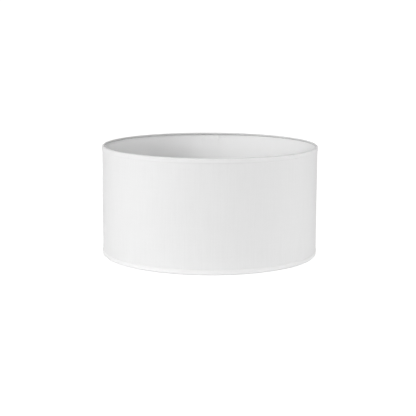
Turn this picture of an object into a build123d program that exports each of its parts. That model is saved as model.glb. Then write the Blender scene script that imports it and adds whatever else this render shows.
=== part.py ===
from build123d import *
import math
import os

# A drum lamp shade. Woven fabric is bonded to a stiff plastic liner, and that panel is bent round two wire
# rings and lapped at the back. A folded strip of the same fabric binds each ring to the panel's edge.
# Three wire arms carry the collar that a lamp holder clamps, inside the bottom of the drum.
# The origin is the centre of the plane that the shade stands on, +Z is up, and the front faces -Y.

# Whole shade, in millimetres
overall_diameter = 400.0
overall_height = 204.0

# Sheets
cover_thickness = 0.35
liner_thickness = 0.3
tape_thickness = 0.1
trim_thickness = 0.5
panel_height = 200.0

# Lap of the panel's two ends
seam_angle = 87.0
lap_width = 12.0
ramp_length = 24.0
ramp_clearance = 0.6
tape_inset = 1.0

# Trims
flap_length = 9.0
bulge_margin = 1.5
notch_width = 7.0
notch_clearance = 0.2

# Frame
ring_wire = 3.0
arm_wire = 3.0
arm_angles = [30.0, 150.0, 270.0]
arm_foot_run = 9.0
arm_rise_run = 11.0
arm_bend_radius = 7.0

# Collar for a lamp holder's shade ring
collar_hole_radius = 21.0
collar_outer_radius = 30.0
collar_thickness = 1.5
collar_lip_height = 3.5
collar_recess = 20.0
collar_edge_radius = 0.4
weld_depth = 0.25
weld_lap = 6.0

# Worked out from the above
cover_outer = overall_diameter / 2 - trim_thickness
cover_inner = cover_outer - cover_thickness
liner_inner = cover_inner - liner_thickness
lap_step = cover_thickness + liner_thickness + tape_thickness
panel_base = (overall_height - panel_height) / 2
panel_top = panel_base + panel_height
ring_radius = liner_inner - ring_wire / 2
top_ring_height = overall_height - trim_thickness - ring_wire / 2
bottom_ring_height = overall_height - top_ring_height
arm_height = collar_recess + weld_depth - arm_wire / 2


def degrees_along(length):
    """The angle that a length along the panel takes up."""
    return math.degrees(length / cover_outer)


lap_angle = degrees_along(lap_width)
inner_end = seam_angle - lap_angle / 2
outer_end = inner_end + 360.0 + lap_angle
lap_start = inner_end + 360.0 - degrees_along(ramp_clearance)
ramp_start = lap_start - degrees_along(ramp_length)
bulge_start = ramp_start - degrees_along(bulge_margin)
bulge_end = outer_end + degrees_along(bulge_margin)


def polar(radius, angle):
    """A point in plan."""
    return (radius * math.cos(math.radians(angle)), radius * math.sin(math.radians(angle)))


def lapped_sheet(radius, thickness):
    """A sheet of the panel, whose outer end steps out by lap_step and lies over its inner end."""
    outer = radius + thickness
    outline = [
        CenterArc((0, 0), outer, inner_end, ramp_start - inner_end),
        Line(polar(outer, ramp_start), polar(outer + lap_step, lap_start)),
        CenterArc((0, 0), outer + lap_step, lap_start, outer_end - lap_start),
        Line(polar(outer + lap_step, outer_end), polar(radius + lap_step, outer_end)),
        CenterArc((0, 0), radius + lap_step, lap_start, outer_end - lap_start),
        Line(polar(radius + lap_step, lap_start), polar(radius, ramp_start)),
        CenterArc((0, 0), radius, inner_end, ramp_start - inner_end),
        Line(polar(radius, inner_end), polar(outer, inner_end)),
    ]
    return Pos(0, 0, panel_base) * extrude(make_face(outline), panel_height)


def seam_tape():
    """The adhesive strip between the panel's lapped ends."""
    inset = degrees_along(tape_inset)
    start = inner_end + inset
    sweep_angle = lap_angle - 2 * inset
    outer = cover_outer + tape_thickness
    outline = [
        CenterArc((0, 0), outer, start, sweep_angle),
        Line(polar(outer, start + sweep_angle), polar(cover_outer, start + sweep_angle)),
        CenterArc((0, 0), cover_outer, start, sweep_angle),
        Line(polar(cover_outer, start), polar(outer, start)),
    ]
    return Pos(0, 0, panel_base) * extrude(make_face(outline), panel_height)


def wire_ring(height):
    """A round wire hoop that just touches the liner."""
    return Pos(0, 0, height) * Torus(ring_radius, ring_wire / 2)


def hem_section(bulge):
    """The folded trim cut across, at the top ring: down the cover, over the panel's edge and round the ring.
    bulge is how far the panel's edge stands out under it."""
    inside = ring_wire / 2
    outside = inside + trim_thickness
    corner = (cover_outer + bulge, panel_top)
    flap_end = overall_height - flap_length
    reach = math.dist(corner, (ring_radius, top_ring_height))
    lean = math.degrees(math.atan2(corner[1] - top_ring_height, corner[0] - ring_radius))
    leave = lean + math.degrees(math.acos(inside / reach))

    def on_ring(radius, angle):
        x, y = polar(radius, angle)
        return (ring_radius + x, top_ring_height + y)

    def by_corner(angle):
        x, y = polar(trim_thickness, angle)
        return (corner[0] + x, corner[1] + y)

    under = top_ring_height - inside
    outline = [
        Line((cover_outer, flap_end), (corner[0] + trim_thickness, flap_end)),
        Line((corner[0] + trim_thickness, flap_end), by_corner(0)),
        CenterArc(corner, trim_thickness, 0, leave),
        Line(by_corner(leave), on_ring(outside, leave)),
        CenterArc((ring_radius, top_ring_height), outside, leave, 270 - leave),
        Line(on_ring(outside, 270), (liner_inner, under - trim_thickness)),
        Line((liner_inner, under - trim_thickness), (liner_inner, under)),
        Line((liner_inner, under), on_ring(inside, 270)),
        CenterArc((ring_radius, top_ring_height), inside, leave, 270 - leave),
        Line(on_ring(inside, leave), corner),
        Line((cover_outer, panel_top), (cover_outer, flap_end)),
    ]
    if bulge > 0:
        outline.append(Line(corner, (cover_outer, panel_top)))
    return Plane.XZ * make_face(outline)


def folded_trim(walls):
    """The trim of the top ring, let out where the panel is lapped."""
    plain = revolve(Rot(0, 0, bulge_end) * hem_section(0), Axis.Z, bulge_start + 360 - bulge_end)
    let_out = revolve(Rot(0, 0, bulge_start) * hem_section(lap_step), Axis.Z, bulge_end - bulge_start)
    for wall in walls:
        let_out -= wall
    # A sliver of the section is left under the lap, and is dropped.
    return (plain + let_out).solids().sort_by(SortBy.VOLUME)[-1]


def notch(angle):
    """The slit that lets an arm out of the bottom trim."""
    low = bottom_ring_height - arm_wire / 2 - notch_clearance
    high = bottom_ring_height + ring_wire / 2 + 2 * trim_thickness
    length = liner_inner - ring_radius + 2 * ring_wire
    block = Box(length, notch_width, high - low)
    return Rot(0, 0, angle) * Pos(liner_inner - length / 2, 0, (low + high) / 2) * block


def arm(angle):
    """A wire from the bottom ring in, up and along to the underside of the collar."""
    foot = ring_radius - ring_wire / 2 - arm_foot_run
    route = FilletPolyline(
        (ring_radius, 0, bottom_ring_height),
        (foot, 0, bottom_ring_height),
        (foot - arm_rise_run, 0, arm_height),
        (collar_outer_radius - weld_lap, 0, arm_height),
        radius=arm_bend_radius,
    )
    start = Plane(origin=route @ 0, z_dir=route % 0)
    return Rot(0, 0, angle) * sweep(start * Circle(arm_wire / 2), path=route)


def fitter_collar():
    """A pressed steel washer with a raised rim, which a shade ring clamps."""
    low = collar_recess
    high = collar_recess + collar_thickness
    rim = collar_recess + collar_lip_height
    rim_inner = collar_outer_radius - collar_thickness
    outline = Polyline(
        (collar_hole_radius, low),
        (collar_outer_radius, low),
        (collar_outer_radius, rim),
        (rim_inner, rim),
        (rim_inner, high),
        (collar_hole_radius, high),
        close=True,
    )
    section = make_face(outline)
    bend = section.vertices().sort_by_distance((collar_outer_radius, low))[0]
    section = fillet(bend, collar_thickness)
    rim_edges = section.vertices().group_by(Axis.Y)[-1]
    section = fillet(rim_edges, collar_edge_radius)
    crease = section.vertices().sort_by_distance((rim_inner, high))[0]
    section = fillet(crease, collar_edge_radius)
    return revolve(Plane.XZ * section, Axis.Z)


fabric_cover = lapped_sheet(cover_inner, cover_thickness)
stiff_liner = lapped_sheet(liner_inner, liner_thickness)
tape = seam_tape()
top_ring = wire_ring(top_ring_height)
bottom_ring = wire_ring(bottom_ring_height)
top_trim = folded_trim([fabric_cover, stiff_liner, tape])
bottom_trim = mirror(top_trim, Plane.XY.offset(overall_height / 2))
collar = fitter_collar()

parts = {
    "fabric_cover": fabric_cover,
    "stiff_liner": stiff_liner,
    "seam_tape": tape,
    "top_ring": top_ring,
    "bottom_ring": bottom_ring,
    "top_trim": top_trim,
    "fitter_collar": collar,
}

for number, angle in enumerate(arm_angles, start=1):
    parts[f"fitter_arm_{number}"] = arm(angle) - bottom_ring - collar
    bottom_trim -= notch(angle)

parts["bottom_trim"] = bottom_trim

os.makedirs("parts", exist_ok=True)
for name, shape in parts.items():
    export_step(shape, f"parts/{name}.step")
    print(name, "volume", round(shape.volume, 1), "mm3")
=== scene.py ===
import math

import bpy
import numpy as np
from mathutils import Matrix, Vector


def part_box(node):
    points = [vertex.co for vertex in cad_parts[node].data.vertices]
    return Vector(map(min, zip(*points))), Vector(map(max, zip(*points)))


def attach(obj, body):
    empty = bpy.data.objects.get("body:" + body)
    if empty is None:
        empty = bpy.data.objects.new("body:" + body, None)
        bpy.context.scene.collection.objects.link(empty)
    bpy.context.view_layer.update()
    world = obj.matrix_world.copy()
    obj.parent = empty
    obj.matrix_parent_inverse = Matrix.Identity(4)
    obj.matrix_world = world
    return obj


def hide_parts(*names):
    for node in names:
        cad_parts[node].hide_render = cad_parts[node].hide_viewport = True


# A white drum lamp shade, in metres. The frame gives the rings, arms and collar, and the sheets' places.
# The woven cover, the liner, the seam tape and the two folded trims are built here, with their detail.

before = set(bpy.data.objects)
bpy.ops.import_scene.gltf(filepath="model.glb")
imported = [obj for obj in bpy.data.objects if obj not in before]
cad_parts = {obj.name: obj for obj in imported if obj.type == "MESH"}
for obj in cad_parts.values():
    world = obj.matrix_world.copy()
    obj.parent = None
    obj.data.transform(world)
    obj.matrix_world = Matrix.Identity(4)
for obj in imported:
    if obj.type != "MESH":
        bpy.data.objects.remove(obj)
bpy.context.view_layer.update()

MM = 0.001
TURN = 2 * math.pi

# Sizes, from the frame
cover_low, cover_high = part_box("fabric_cover")
liner_low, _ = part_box("stiff_liner")
trim_low, trim_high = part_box("top_trim")
ring_low, ring_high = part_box("top_ring")
cover_outer = round(-cover_low.y, 4)
cover_inner = round(-liner_low.y, 5)
liner_inner = round(ring_high.x, 5)
panel_base = cover_low.z
panel_top = cover_high.z
panel_height = panel_top - panel_base
overall_height = trim_high.z
flap_end = trim_low.z
wire_radius = (ring_high.z - ring_low.z) / 2
ring_radius = liner_inner - wire_radius
ring_height = (ring_high.z + ring_low.z) / 2
trim_thickness = trim_high.z - ring_high.z
cover_thickness = cover_outer - cover_inner
liner_thickness = cover_inner - liner_inner

# The panel's lap at the back. It is where the frame has it, but the ramp up to it is longer and gentler.
seam_angle = math.radians(87)
lap_width = 12 * MM
ramp_length = 50 * MM
ramp_clearance = 0.15 * MM
tape_thickness = 0.1 * MM
tape_inset = 1 * MM
lap_step = cover_thickness + liner_thickness + tape_thickness
lap_angle = lap_width / cover_outer
inner_end = seam_angle - lap_angle / 2
outer_end = inner_end + TURN + lap_angle
lap_start = inner_end + TURN - ramp_clearance / cover_outer
ramp_start = lap_start - ramp_length / cover_outer
# How far a bonded face is kept back from the surface where it meets the other
bond_gap = 0.015 * MM

# Arms and their slits in the bottom trim
arm_angles = [math.radians(a) for a in (30, 150, 270)]
slit_width = 6.5 * MM

# Edges that turn by more than this are shown sharp.
sharp_angle = math.radians(50)

random = np.random.default_rng(11)


# ---------------------------------------------------------------- shapes

def ease(x):
    """0 below 0, 1 above 1, and smooth between."""
    x = np.clip(x, 0, 1)
    return x * x * (3 - 2 * x)


def hump(x, centre, reach):
    """1 at the centre, falling smoothly to almost 0 at twice the reach."""
    return np.exp(-((x - centre) / reach) ** 2)


def ripple(angles, fewest, most, terms=9):
    """An uneven wave round the shade, mostly within 1 of zero, with from fewest to most waves in a turn."""
    counts = random.integers(fewest, most + 1, terms)
    phases = random.uniform(0, TURN, terms)
    sizes = random.uniform(0.5, 1.0, terms)
    waves = sum(s * np.sin(n * angles + p) for s, n, p in zip(sizes, counts, phases))
    return waves / np.sqrt((sizes**2).sum())


def around(angles, radii, heights):
    """Points from their angles, radii and heights."""
    return np.stack([radii * np.cos(angles), radii * np.sin(angles), heights], axis=-1)


def solid_sheet(name, outer, inner, cloth, closed=False, kept=None):
    """A closed mesh between two grids of points, with a wall wherever a cell's neighbour is missing.
    The grids are columns round the shade by rows across the sheet. cloth holds each point's place on the flat
    sheet. Its faces use material 0, and those of the inner grid, which is bonded to something, material 1."""
    columns, rows = outer.shape[:2]
    cells = columns if closed else columns - 1
    kept = np.ones((cells, rows - 1), bool) if kept is None else kept
    half = columns * rows

    def present(c, r):
        if not closed and not 0 <= c < cells:
            return False
        return 0 <= r < rows - 1 and kept[c % cells, r]

    faces = []
    slots = []
    for c, r in zip(*np.nonzero(kept)):
        after = (c + 1) % columns
        a, b, d, e = c * rows + r, after * rows + r, after * rows + r + 1, c * rows + r + 1
        faces += [(a, b, d, e), (e + half, d + half, b + half, a + half)]
        slots += [0, 1]
        for near, p, q in ((c, r - 1), a, b), ((c + 1, r), b, d), ((c, r + 1), d, e), ((c - 1, r), e, a):
            if not present(*near):
                faces.append((q, p, p + half, q + half))
                slots.append(0)

    faces = np.array(faces)
    used, places = np.unique(faces, return_inverse=True)
    points = np.concatenate([outer.reshape(-1, 3), inner.reshape(-1, 3)])[used]
    flat = np.concatenate([cloth.reshape(-1, 3)] * 2)[used]
    mesh = bpy.data.meshes.new(name)
    mesh.from_pydata(points.tolist(), [], places.reshape(faces.shape).tolist())
    mesh.polygons.foreach_set("material_index", slots)
    attribute = mesh.attributes.new("cloth", "FLOAT_VECTOR", "POINT")
    attribute.data.foreach_set("vector", flat.astype(np.float32).ravel())
    mesh.shade_smooth()
    mesh.set_sharp_from_angle(angle=sharp_angle)
    piece = bpy.data.objects.new(name, mesh)
    bpy.context.scene.collection.objects.link(piece)
    return piece


def finish_piece(piece, materials, replaced=None):
    """Gives a piece its materials and ties it to the frame."""
    for material in materials:
        piece.data.materials.append(material)
    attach(piece, "root")
    if replaced:
        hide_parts(replaced)
    return piece


# ---------------------------------------------------------------- the panel

wave_terms = 14
wave_counts = random.integers(3, 22, wave_terms)
wave_phases = random.uniform(0, TURN, wave_terms)
wave_rises = random.uniform(0.3, 1.6, wave_terms)
wave_offsets = random.uniform(0, TURN, wave_terms)
wave_size = 0.11 * MM
# Shares of the panel's height: the part at each edge that is held true, and the part where the waves grow
held_margin = 0.05
held_fade = 0.2


def panel_wave(angles, heights):
    """How far the panel stands in or out of a true drum. It is true where the trims hold it."""
    share = (heights - panel_base) / panel_height
    total = 0
    for count, phase, rise, offset in zip(wave_counts, wave_phases, wave_rises, wave_offsets):
        total = total + np.sin(count * angles + phase) * np.cos(math.pi * rise * share + offset)
    held = ease((share - held_margin) / held_fade) * ease((1 - held_margin - share) / held_fade)
    return wave_size * total / math.sqrt(wave_terms / 4) * held


def lap_rise(angles):
    """How far the panel's outer end has stepped out to lie over its inner end."""
    return lap_step * ease((angles - ramp_start) / (lap_start - ramp_start))


# Small upright puckers of the liner under the top trim, most of them by the lap: the angle in degrees, how
# far they stand out, and half their width
puckers = [
    (93.7, -0.8 * MM, 2.2 * MM),
    (89.2, -0.7 * MM, 1.8 * MM),
    (87.3, 0.2 * MM, 1.2 * MM),
    (85.2, -0.9 * MM, 2.0 * MM),
    (81.9, -0.8 * MM, 2.0 * MM),
    (29.5, -0.2 * MM, 1.8 * MM),
    (24.0, 0.22 * MM, 2.2 * MM),
    (19.5, -0.24 * MM, 2.4 * MM),
]
# Distances below the panel's top edge: where the puckers are full, how much sooner and over what length they
# start, and where they end
pucker_top = 4.5 * MM
pucker_lead = 2 * MM
pucker_rise = 3 * MM
pucker_drop = 19 * MM

# The liner's pared inner end, and the glue that fills the step where the outer end meets it. The pared depth
# is also the most that the liner's face may move outwards, because the liner is only a little thicker.
end_taper = 8 * MM
pared_depth = 0.22 * MM
fill_depth = 0.4 * MM


def liner_puckers(angles, heights):
    """How far the puckers draw the liner in or out. They start below the top ring and die away downwards."""
    total = 0
    for degrees, depth, reach in puckers:
        off = (angles - math.radians(degrees) + math.pi) % TURN - math.pi
        total = total + depth * hump(off * liner_inner, 0, reach)
    drop = panel_top - heights
    started = ease((drop - pucker_top + pucker_lead) / pucker_rise)
    lasting = ease((pucker_drop - drop) / (pucker_drop - pucker_top))
    return total * started * lasting


def panel_grid(radius, angles, heights, shown_inside=False):
    """The points of one face of the panel. The one shown inside is puckered, pared thin
    at its inner end, and thickened with glue where the outer end meets that."""
    a, z = np.meshgrid(angles, heights, indexing="ij")
    radii = radius + lap_rise(a) + panel_wave(a, z)
    if shown_inside:
        pared = ease(1 - (a - inner_end) * liner_inner / end_taper)
        filled = ease(1 - (lap_start - a) * liner_inner / end_taper)
        outward = np.minimum(liner_puckers(a, z) + pared_depth * pared, pared_depth)
        radii = radii + (outward - fill_depth * filled) * (a <= lap_start)
    return around(a, radii, z)


def cloth_places(angles, heights):
    """Each point's place on the flat sheet."""
    a, z = np.meshgrid(angles, heights, indexing="ij")
    return np.stack([a * cover_outer, z, np.zeros_like(a)], axis=-1)


# The panel's columns are closer at its inner end, up the ramp and over the lap, and its rows by the puckers.
inner_length = 36 * MM
inner_columns = 72
plain_columns = 640
ramp_columns = 110
lapped_columns = 30
tape_columns = 12
plain_rows = 30
pucker_rows = 14
# Keeps the first lapped column off the last one of the ramp
column_gap = 0.02 * MM


def panel_columns():
    """Even steps round the drum, and close ones by the lap."""
    near_lap = inner_end + inner_length / cover_outer
    first = np.linspace(inner_end, near_lap, inner_columns, endpoint=False)
    plain = np.linspace(near_lap, ramp_start, plain_columns, endpoint=False)
    ramp = np.linspace(ramp_start, lap_start, ramp_columns)
    lapped = np.linspace(lap_start + column_gap / cover_outer, outer_end, lapped_columns)
    return np.concatenate([first, plain, ramp, lapped])


def build_panel():
    """The cover and the liner, bonded face to face, and the tape between their lapped ends."""
    columns = panel_columns()
    pucker_end = panel_top - pucker_drop
    low_heights = np.linspace(panel_base, pucker_end, plain_rows, endpoint=False)
    heights = np.concatenate([low_heights, np.linspace(pucker_end, panel_top, pucker_rows)])
    cloth = cloth_places(columns, heights)
    cover = solid_sheet(
        "cover_cloth",
        panel_grid(cover_outer, columns, heights),
        panel_grid(cover_inner + bond_gap, columns, heights),
        cloth,
    )
    # The liner's shown face is its inside, so its inner grid is the bonded one, and its columns are reversed.
    liner = solid_sheet(
        "liner_film",
        panel_grid(liner_inner, columns[::-1], heights, shown_inside=True),
        panel_grid(cover_inner - bond_gap, columns[::-1], heights),
        cloth[::-1],
    )
    tape_start = inner_end + tape_inset / cover_outer
    tape_end = inner_end + lap_angle - tape_inset / cover_outer
    tape_angles = np.linspace(tape_start, tape_end, tape_columns)
    tape = solid_sheet(
        "seam_tape_film",
        panel_grid(cover_outer + tape_thickness - bond_gap, tape_angles, heights),
        panel_grid(cover_outer + bond_gap, tape_angles, heights),
        cloth_places(tape_angles, heights),
    )
    return cover, liner, tape


# ---------------------------------------------------------------- the trims

# A trim's cut edge is rounded, and keeps a share of the thickness there, so that its end has a wall.
edge_round = 0.35 * MM
cut_share = 0.15

# Ways that a trim's face points as it turns over, from level outwards: at the crown and how close to it
# counts, where it starts to be inside and over how much, where a joint's step ends and over how much, where an
# arm's slit starts, and under the wire
crown_turn = math.pi / 2
crown_reach = 0.35
inside_turn = math.radians(105)
inside_span = math.radians(60)
joint_end_turn = math.radians(250)
joint_end_span = math.radians(40)
slit_turn = math.radians(115)
under_turn = math.radians(270)

# Points of a trim's section: the cut edge, the flap, over the panel's edge, across to the wire, round it, and
# back to the liner
edge_points = 7
flap_points = 15
bend_points = 5
span_points = 4
roll_points = 26
tail_points = 4

# A trim's unevenness. The flap lifts by its cut edge, more where it is loose, and swells in the middle. A
# crease runs along it, and it is gathered and drawn tight where it turns in.
least_lift = 0.08 * MM
loose_lift = 0.2 * MM
lift_reach = 3.5 * MM
swell_height = 0.1 * MM
swell_place = 2.8 * MM
swell_reach = 1.4 * MM
crease_drop = 4.2 * MM
crease_reach = 0.45 * MM
crease_wander = 0.18 * MM
gather_height = 0.1 * MM
drawn_in = 0.1 * MM
most_stand = 0.6 * MM
edge_wander = 0.14 * MM
edge_reach = 4 * MM

# How far past the lap's end the trim comes down to the cover again
step_down = 1.2 * MM

# Each trim's lapped oblique joint
top_joint = math.radians(-44.5)
bottom_joint = math.radians(-90)
joint_lap = 9 * MM
joint_fade = 3 * MM
joint_step = 0.4 * MM
joint_lean = 1.25
joint_reach = math.radians(25)
top_crease = 0.35 * MM
bottom_crease = 0.12 * MM

# Columns round a trim: close ones at the joint's step, then even ones that keep clear of them at both ends
joint_columns = np.array([-0.02, 0.0, 0.12, 0.3]) * MM
even_start = 0.9 * MM
even_stop = 0.5 * MM
even_columns = 780


def hem_path(offset, bulge):
    """One face of a folded trim in section, at the top ring: up the cover, over the panel's edge, round the
    wire and back to the liner. offset is its distance from what it covers, and bulge how far the cover stands
    out there. Gives the points, and the direction that each one faces as a vector and as an angle."""
    corner = np.array([cover_outer + bulge, panel_top])
    centre = np.array([ring_radius, ring_height])
    reach = math.dist(corner, centre)
    lean = math.atan2(corner[1] - centre[1], corner[0] - centre[0])
    leave = lean + math.acos(wire_radius / reach)

    rise = 1 - np.cos(np.linspace(0, math.pi / 2, edge_points))
    straight = np.linspace(flap_end + edge_round, panel_top, flap_points)
    flap = np.concatenate([flap_end + edge_round * rise[:-1], straight])
    bend = np.linspace(0, leave, bend_points)[1:]
    span = np.linspace(0, 1, span_points)[1:-1]
    roll = np.linspace(leave, under_turn, roll_points)
    tail = np.linspace(0, 1, tail_points)[1:]

    def facing(turns):
        return np.stack([np.cos(turns), np.sin(turns)], axis=-1)

    bend_end = corner + offset * facing(np.array([leave]))
    roll_start = centre + (wire_radius + offset) * facing(np.array([leave]))
    under = np.array([[ring_radius, ring_height - wire_radius - offset]])
    points = [
        np.stack([np.full(len(flap), corner[0] + offset), flap], axis=-1),
        corner + offset * facing(bend),
        bend_end + (roll_start - bend_end) * span[:, None],
        centre + (wire_radius + offset) * facing(roll),
        under + np.array([[liner_inner - bond_gap - ring_radius, 0]]) * tail[:, None],
    ]
    turns = [
        np.zeros(len(flap)),
        bend,
        np.full(len(span), leave),
        roll,
        np.full(len(tail), under_turn),
    ]
    turns = np.concatenate(turns)
    return np.concatenate(points), facing(turns), turns


def strip_places(points):
    """How far along the strip's width each point of its section is."""
    steps = np.linalg.norm(np.diff(points, axis=0), axis=1)
    return np.concatenate([[0], np.cumsum(steps)])


def strip_crown():
    """The place across the strip that lies on the crown."""
    points, _, turns = hem_path(trim_thickness, 0)
    return strip_places(points)[np.argmin(abs(turns - crown_turn))]


def leaning_columns(joint_angle, along):
    """How far round from the joint each column of a trim starts, and the angle of each of its points. Columns
    start at the joint and lean with it there, so that its step follows one column."""
    even = np.linspace(even_start / cover_outer, TURN - even_stop / cover_outer, even_columns)
    base = np.concatenate([joint_columns / cover_outer, even])
    from_joint = np.minimum(abs(base), abs(TURN - base))
    leaning = 1 - ease(from_joint / joint_reach)
    shift = joint_lean * (strip_crown() - along) / cover_outer
    return base, joint_angle + base[:, None] + leaning[:, None] * shift[None, :]


def lap_under_trim(angles):
    """How much of the lap's step the cover stands out by under a trim, from 0 to 1."""
    wrapped = (angles - inner_end) % TURN + inner_end
    over = lap_rise(wrapped) / lap_step
    past = ease(1 - (wrapped - inner_end - lap_angle) / (step_down / cover_outer))
    return np.maximum(over, past * (wrapped < inner_end + TURN / 2))


def trim_stand(base, place, s, turns, crease_depth):
    """How far a trim's face stands off its plain shape. base is how far round from the joint a column starts,
    place the angle of its first point, s the place across the strip and turns the way that it faces there."""
    loose = ease(ripple(place, 14, 70) * 0.5 + 0.25)[:, None]
    lift = (least_lift + loose_lift * loose) * ease(1 - s / lift_reach)
    swell = swell_height * (1 + 0.4 * ripple(place, 5, 40)[:, None]) * hump(s, swell_place, swell_reach)
    crease_at = overall_height - crease_drop - flap_end
    crease_way = crease_at + crease_wander * ripple(place, 6, 60)[:, None]
    crease = crease_depth * (1 + 0.3 * ripple(place, 8, 80)[:, None]) * hump(s, crease_way, crease_reach)
    inside = ease((turns - inside_turn) / inside_span)[None, :]
    gathers = ripple(place, 40, 150, 14)[:, None] + 0.6 * ripple(place, 12, 40)[:, None]
    start = base[:, None] * cover_outer
    joint = joint_step * (start > 0) * (1 - ease((start - joint_lap) / joint_fade))
    joint = joint * ease((joint_end_turn - turns) / joint_end_span)[None, :]
    crown_free = 1 - hump(turns, crown_turn, crown_reach)[None, :]
    stand = lift + swell - crease + gather_height * inside * gathers + joint * (0.35 + 0.65 * crown_free)
    stand = np.minimum(stand, most_stand) * (0.2 + 0.8 * crown_free)
    return stand - drawn_in * inside


def trim_grids(joint_angle, crease_depth):
    """The two faces of a folded trim at the top ring, with its lapped oblique joint at joint_angle. Gives
    each point's place on the flat strip, its angle round the shade and the way that the section faces too."""
    flat_points, directions, turns = hem_path(trim_thickness, 0)
    let_out, _, _ = hem_path(trim_thickness, lap_step)
    under_flat, _, _ = hem_path(bond_gap, 0)
    under_let_out, _, _ = hem_path(bond_gap, lap_step)
    along = strip_places(flat_points)
    base, angles = leaning_columns(joint_angle, along)
    s = np.broadcast_to(along, angles.shape)
    place = angles[:, 0]
    over = lap_under_trim(angles)
    fold = np.maximum(np.sqrt(1 - (1 - np.clip(s / edge_round, 0, 1)) ** 2), cut_share)
    stand = trim_stand(base, place, s, turns, crease_depth)

    base_points = flat_points[None] + (let_out - flat_points)[None] * over[..., None]
    inner = under_flat[None] + (under_let_out - under_flat)[None] * over[..., None]
    full = inner + (base_points - inner) * fold[..., None]
    outer = full + directions[None] * (stand * fold)[..., None]
    uneven_edge = edge_wander * ripple(place, 10, 90)[:, None] * ease(1 - s / edge_reach)
    outer[..., 1] += uneven_edge
    inner[..., 1] += uneven_edge
    # The crown stays within the shade's height.
    outer[..., 1] = np.minimum(outer[..., 1], overall_height)
    inner[..., 1] = np.minimum(inner[..., 1], overall_height - bond_gap)

    cloth = np.stack([angles * cover_outer, s, np.zeros_like(s)], axis=-1)
    return (
        around(angles, outer[..., 0], outer[..., 1]),
        around(angles, inner[..., 0], inner[..., 1]),
        cloth,
        angles,
        turns,
    )


def build_top_trim():
    """The strip round the top ring."""
    outer, inner, cloth, _, _ = trim_grids(top_joint, top_crease)
    return solid_sheet("top_trim_cloth", outer, inner, cloth, closed=True)


def build_bottom_trim():
    """The same strip turned over, with a slit for each arm from its inner edge to the ring's underside."""
    outer, inner, cloth, angles, turns = trim_grids(bottom_joint, bottom_crease)
    kept = np.ones((outer.shape[0], outer.shape[1] - 1), bool)
    beyond = turns[:-1] > slit_turn
    for arm in arm_angles:
        off = (angles[:, -1] - arm + math.pi) % TURN - math.pi
        near = abs(off) * ring_radius < slit_width / 2
        kept[np.ix_(near, beyond)] = False
    for grid in (outer, inner):
        grid[..., 2] = overall_height - grid[..., 2]
    # Turned over, the grids' columns run the other way round their faces.
    outer, inner, cloth = outer[::-1], inner[::-1], cloth[::-1]
    return solid_sheet("bottom_trim_cloth", outer, inner, cloth, closed=True, kept=turned(kept))


def turned(kept):
    """The kept cells once the columns are reversed, when cell c lies between columns c and c + 1 of the new
    order."""
    return np.roll(kept[::-1], -1, axis=0)


# ---------------------------------------------------------------- materials

def new_material(name):
    """An empty node material, and a function that adds nodes to it and links their inputs."""
    material = bpy.data.materials.new(name)
    material.use_nodes = True
    tree = material.node_tree
    tree.nodes.clear()

    def node(kind, inputs=None, **settings):
        made = tree.nodes.new(kind)
        for key, value in settings.items():
            setattr(made, key, value)
        for key, value in (inputs or {}).items():
            if isinstance(value, bpy.types.NodeSocket):
                tree.links.new(value, made.inputs[key])
            else:
                made.inputs[key].default_value = value
        return made

    return material, node


def maths(node, operation, a, b=0.0):
    return node("ShaderNodeMath", {0: a, 1: b}, operation=operation).outputs[0]


def weighted_sum(node, parts):
    """The sum of some values, each times its share."""
    total = None
    for value, share in parts:
        part = maths(node, "MULTIPLY", value, share)
        total = part if total is None else maths(node, "ADD", total, part)
    return total


def slope(node, value, start, end, low, high, shape="LINEAR"):
    """Goes from low to high as the value goes from start to end."""
    inputs = {"Value": value, "From Min": start, "From Max": end, "To Min": low, "To Max": high}
    return node("ShaderNodeMapRange", inputs, interpolation_type=shape).outputs[0]


def grey(value):
    return (value, value, value, 1.0)


def between_greys(node, share, low, high):
    """A grey from low to high."""
    return node("ShaderNodeMix", {0: share, 6: grey(low), 7: grey(high)}, data_type="RGBA").outputs[2]


def place_on_cloth(node):
    """A point's place across and along its flat sheet, in metres."""
    place = node("ShaderNodeAttribute", attribute_name="cloth", attribute_type="GEOMETRY")
    parts = node("ShaderNodeSeparateXYZ", {0: place.outputs["Vector"]})
    return parts.outputs[0], parts.outputs[1]


def raised(node, height, distance):
    """A bump, where a height of 1 stands out by the distance."""
    return node("ShaderNodeBump", {"Height": height, "Distance": distance, "Strength": 1.0}).outputs[0]


def finish_sheet_material(node, face, colours, bump, passes):
    """Ends a sheet's material: its face, and the share of light that passes through it."""
    through = node("ShaderNodeBsdfTranslucent", {"Color": colours, "Normal": bump})
    mixed = node("ShaderNodeMixShader", {0: passes, 1: face.outputs[0], 2: through.outputs[0]})
    node("ShaderNodeOutputMaterial", {"Surface": mixed.outputs[0]})


thread_pitch = 0.42 * MM
weave_depth = 0.045 * MM


def weave_height(node, across, along):
    """The height of a plain weave, from 0 to 1, where across and along are places on the cloth in metres."""
    a = maths(node, "DIVIDE", across, thread_pitch)
    b = maths(node, "DIVIDE", along, thread_pitch)
    warp = maths(node, "ABSOLUTE", maths(node, "SINE", maths(node, "MULTIPLY", a, math.pi)))
    weft = maths(node, "ABSOLUTE", maths(node, "SINE", maths(node, "MULTIPLY", b, math.pi)))
    cell = node("ShaderNodeCombineXYZ", {0: a, 1: b, 2: 0.5})
    over = node("ShaderNodeTexChecker", {"Vector": cell.outputs[0], "Scale": 1.0}).outputs["Fac"]
    lifted = maths(node, "MULTIPLY", maths(node, "SUBTRACT", over, 0.5), 0.5)
    warp_share = maths(node, "ADD", lifted, 0.5)
    weft_share = maths(node, "SUBTRACT", 0.5, lifted)
    high = maths(node, "MULTIPLY", warp, warp_share)
    return maths(node, "ADD", high, maths(node, "MULTIPLY", weft, weft_share))


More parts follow.
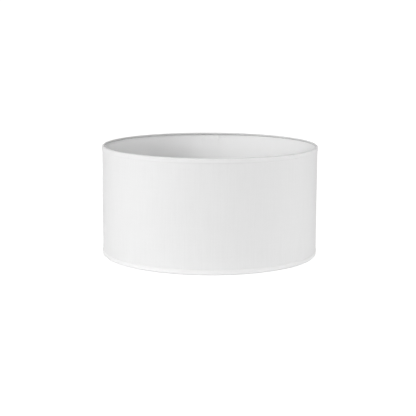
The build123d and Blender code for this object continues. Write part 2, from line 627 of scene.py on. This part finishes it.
def streaks(node, across, along, across_scale, along_scale, detail=2.0):
    """Noise drawn out along the threads. The scales are in waves a metre."""
    place = node(
        "ShaderNodeCombineXYZ",
        {0: maths(node, "MULTIPLY", across, across_scale), 1: maths(node, "MULTIPLY", along, along_scale)},
    )
    noise = node("ShaderNodeTexNoise", {"Vector": place.outputs[0], "Scale": 1.0, "Detail": detail})
    return noise.outputs["Fac"]


def strip_painted_shade(node, along, turned_in, edge_shadow_tone, turn_in_shade_tone=0.86):
    """How much of its colour a trim keeps: less at its cut edge, as a painted shadow under the edge, and less
    again beyond the place turned_in, as painted shade on the strip's turned-in side."""
    # Painted shade darkens the strip past its turn inwards, and a painted shadow darkens its cut edge.
    turn_in_shade = slope(node, along, turned_in + 0.9 * MM, turned_in + 2.4 * MM, 1.0, turn_in_shade_tone)
    edge = slope(node, along, 0.2 * MM, 0.7 * MM, edge_shadow_tone, 1.0)
    return maths(node, "MULTIPLY", turn_in_shade, edge)


def cloth_material(name, light, dark, passes, turned_in=None, edge_shadow_tone=0.93):
    """Woven white cotton. light and dark are its greys on and between the thick threads, and passes is the
    share of light that goes through its face. A strip has turned_in, the place where it turns inwards, beyond
    which its colour is darkened as painted shade, and a tone for its cut edge: how much of its colour it keeps
    there, darkened as a painted shadow."""
    material, node = new_material(name)
    across, along = place_on_cloth(node)
    upright = streaks(node, across, along, 420, 14)
    level = streaks(node, along, across, 420, 14)
    slub = streaks(node, across, along, 1500, 160, 1.0)
    mottle = streaks(node, across, along, 60, 40, 3.0)
    tone = weighted_sum(node, [(upright, 0.45), (level, 0.2), (slub, 0.2), (mottle, 0.15)])
    colours = between_greys(node, tone, dark, light)
    # Painted shade where the strip turns in and a painted shadow at its cut edge darken a strip's colour.
    if turned_in is not None:
        painted_shade = strip_painted_shade(node, along, turned_in, edge_shadow_tone)
        colours = node("ShaderNodeVectorMath", {0: colours, "Scale": painted_shade}, operation="SCALE").outputs[0]
    weave = weave_height(node, across, along)
    bump = raised(node, weighted_sum(node, [(weave, 1.0), (slub, 0.8), (upright, 0.5)]), weave_depth)
    cloth = node(
        "ShaderNodeBsdfPrincipled",
        {"Base Color": colours, "Roughness": 0.92, "Specular IOR Level": 0.12, "Normal": bump},
    )
    finish_sheet_material(node, cloth, colours, bump, passes)
    return material


def film_material(name, colour, passes, roughness=0.5):
    """White plastic film, with the faint cloudiness and drawing lines of rolled sheet."""
    material, node = new_material(name)
    across, along = place_on_cloth(node)
    clouds = streaks(node, across, along, 45, 30, 3.0)
    lines = streaks(node, across, along, 500, 9, 2.0)
    tone = weighted_sum(node, [(clouds, 0.6), (lines, 0.4)])
    colours = between_greys(node, tone, colour - 0.025, colour)
    rough = slope(node, clouds, 0.0, 1.0, roughness - 0.06, roughness + 0.06)
    bump = raised(node, weighted_sum(node, [(clouds, 1.0), (lines, 0.15)]), 0.12 * MM)
    film = node(
        "ShaderNodeBsdfPrincipled",
        {"Base Color": colours, "Roughness": rough, "Specular IOR Level": 0.3, "Normal": bump},
    )
    finish_sheet_material(node, film, colours, bump, passes)
    return material


def powder_coat_material():
    """White powder coat on steel wire: an even skin with a fine orange peel."""
    material, node = new_material("white_powder_coat")
    place = node("ShaderNodeTexCoord").outputs["Object"]
    peel = node("ShaderNodeTexNoise", {"Vector": place, "Scale": 900.0, "Detail": 2.0}).outputs["Fac"]
    patches = node("ShaderNodeTexNoise", {"Vector": place, "Scale": 60.0, "Detail": 3.0}).outputs["Fac"]
    colours = between_greys(node, patches, 0.78, 0.84)
    rough = slope(node, patches, 0.0, 1.0, 0.32, 0.44)
    bump = raised(node, peel, 0.008 * MM)
    coat = node(
        "ShaderNodeBsdfPrincipled",
        {"Base Color": colours, "Roughness": rough, "Specular IOR Level": 0.5, "Normal": bump},
    )
    node("ShaderNodeOutputMaterial", {"Surface": coat.outputs[0]})
    return material


# ---------------------------------------------------------------- stage

# What the camera sees as white is a little over 1, so that it stays white everywhere.
white_strength = 1.1
room_strength = 0.125

# The floor's paint, by the distance from the drum's centre. It is darker far away and inside the drum.
floor_reach = 6.0
floor_near, floor_far = 0.7, 1.5
floor_near_tone, floor_far_tone = 0.85, 0.15
floor_inside, floor_outside = 0.192, 0.202
floor_inside_tone = 0.5

# The camera. Its place, aim and lens were fitted to the drum's outline in the photo. Angles are in radians.
camera_lens = 106.57
camera_back = 2.27693
camera_up = 0.47924
camera_yaw, camera_tilt, camera_roll = 0.00136, 0.17194, 0.00421

light_distance = 3.0

# Each light's name, azimuth, elevation, width, height and brightness. The places and sizes were chosen. The
# brightnesses were fitted to the photo's tones and rounded, and some were changed.
lights = [
    ("key", -60, 22, 1.42, 0.84, 13.8),
    ("left", -90, 22, 1.42, 0.84, 1.7),
    ("left_high", -90, 42, 1.75, 1.17, 0.5),
    ("front_low", 3, 7, 1.5, 0.74, 7.8),
    ("front_high", 0, 42, 1.75, 1.17, 0.25),
    ("right_low", 90, 7, 1.5, 0.74, 3.2),
    ("right_floor", 82, 0, 2.2, 0.19, 16.3),
    ("right_high", 57, 42, 1.75, 1.17, 3.6),
    ("back", 180, 22, 1.6, 0.84, 8.3),
    ("back_high", 175, 42, 1.75, 1.17, 1.0),
    ("back_left", -140, 22, 1.42, 0.84, 0.6),
]


def build_floor():
    """A plain white floor. The camera sees it as even white, and it lights the shade as matt white paint."""
    mesh = bpy.data.meshes.new("floor")
    corners = [(x * floor_reach, y * floor_reach, 0) for x, y in ((-1, -1), (1, -1), (1, 1), (-1, 1))]
    mesh.from_pydata(corners, [], [(0, 1, 2, 3)])
    floor = bpy.data.objects.new("floor", mesh)
    bpy.context.scene.collection.objects.link(floor)
    material, node = new_material("floor_white")
    place = node("ShaderNodeTexCoord").outputs["Object"]
    away = node("ShaderNodeVectorMath", {0: place}, operation="LENGTH").outputs["Value"]
    lit = slope(node, away, floor_near, floor_far, floor_near_tone, floor_far_tone, "SMOOTHSTEP")
    near = slope(node, away, floor_inside, floor_outside, floor_inside_tone, 1.0, "SMOOTHSTEP")
    paint = node("ShaderNodeBsdfDiffuse", {"Color": maths(node, "MULTIPLY", lit, near)})
    white = node("ShaderNodeEmission", {"Color": grey(1.0), "Strength": white_strength})
    seen = node("ShaderNodeLightPath").outputs["Is Camera Ray"]
    mixed = node("ShaderNodeMixShader", {0: seen, 1: paint.outputs[0], 2: white.outputs[0]})
    node("ShaderNodeOutputMaterial", {"Surface": mixed.outputs[0]})
    mesh.materials.append(material)


def softbox(name, azimuth, elevation, width, height, brightness):
    """A soft area light aimed at the shade. Azimuth 0 is the front, and 90 the right."""
    a, e = math.radians(azimuth), math.radians(elevation)
    aim = Vector((0, 0, overall_height / 2))
    towards = Vector((math.sin(a) * math.cos(e), -math.cos(a) * math.cos(e), math.sin(e)))
    light = bpy.data.lights.new(name, "AREA")
    light.shape = "RECTANGLE"
    light.size = width
    light.size_y = height
    light.energy = math.pi * width * height * brightness
    lamp = bpy.data.objects.new(name, light)
    lamp.location = aim + light_distance * towards
    lamp.rotation_mode = "QUATERNION"
    lamp.rotation_quaternion = towards.to_track_quat("Z", "Y")
    lamp.visible_camera = False
    bpy.context.scene.collection.objects.link(lamp)


def build_world():
    """An even pale room, which the camera sees as white."""
    world = bpy.data.worlds.new("studio")
    bpy.context.scene.world = world
    world.use_nodes = True
    tree = world.node_tree
    tree.nodes.clear()

    def background(strength):
        made = tree.nodes.new("ShaderNodeBackground")
        made.inputs["Color"].default_value = grey(1.0)
        made.inputs["Strength"].default_value = strength
        return made.outputs[0]

    path = tree.nodes.new("ShaderNodeLightPath")
    mixed = tree.nodes.new("ShaderNodeMixShader")
    output = tree.nodes.new("ShaderNodeOutputWorld")
    tree.links.new(path.outputs["Is Camera Ray"], mixed.inputs[0])
    tree.links.new(background(room_strength), mixed.inputs[1])
    tree.links.new(background(white_strength), mixed.inputs[2])
    tree.links.new(mixed.outputs[0], output.inputs[0])


def build_camera():
    """A long lens, a little above the shade and looking down into it."""
    data = bpy.data.cameras.new("camera")
    data.sensor_width = 36.0
    data.lens = camera_lens
    camera = bpy.data.objects.new("camera", data)
    aim = Matrix.Rotation(camera_yaw, 4, "Z") @ Matrix.Rotation(math.pi / 2 - camera_tilt, 4, "X")
    aim = aim @ Matrix.Rotation(camera_roll, 4, "Z")
    camera.matrix_world = Matrix.Translation((0, -camera_back, camera_up)) @ aim
    bpy.context.scene.collection.objects.link(camera)
    bpy.context.scene.camera = camera


# ---------------------------------------------------------------- assembly

bpy.context.scene.view_settings.view_transform = "Standard"
build_camera()
build_world()
build_floor()
for light in lights:
    softbox(*light)

crown_place = strip_crown()
cover_face = cloth_material("woven_cotton", light=0.826, dark=0.742, passes=0.08)
cover_back = film_material("cotton_back", colour=0.9, passes=0.95)
liner_face = film_material("liner_film_face", colour=0.95, passes=0.08)
liner_back = film_material("liner_film_back", colour=0.97, passes=0.95)
trim_face = cloth_material("trim_cotton", light=0.82, dark=0.75, passes=0.05, turned_in=crown_place)
# The bottom trim's copy of the same cotton is a shade lighter than the top trim's, as painted light, and the
# painted shadow at its cut edge is fainter.
lit_low_trim_face = cloth_material(
    "lit_low_trim_cotton", light=0.83, dark=0.77, passes=0.03, turned_in=crown_place, edge_shadow_tone=0.985
)
trim_back = cloth_material("trim_cotton_back", light=0.82, dark=0.75, passes=0.05)
tape_face = film_material("tape_film_face", colour=0.9, passes=0.8, roughness=0.3)
coat = powder_coat_material()

cover, liner, tape = build_panel()
top_trim = build_top_trim()
bottom_trim = build_bottom_trim()
finish_piece(cover, [cover_face, cover_back], "fabric_cover")
finish_piece(liner, [liner_face, liner_back], "stiff_liner")
finish_piece(tape, [tape_face, tape_face], "seam_tape")
finish_piece(top_trim, [trim_face, trim_back], "top_trim")
finish_piece(bottom_trim, [lit_low_trim_face, trim_back], "bottom_trim")

for name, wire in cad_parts.items():
    if name.endswith("ring") or name.startswith("fitter"):
        for slot in wire.material_slots:
            slot.material = coat
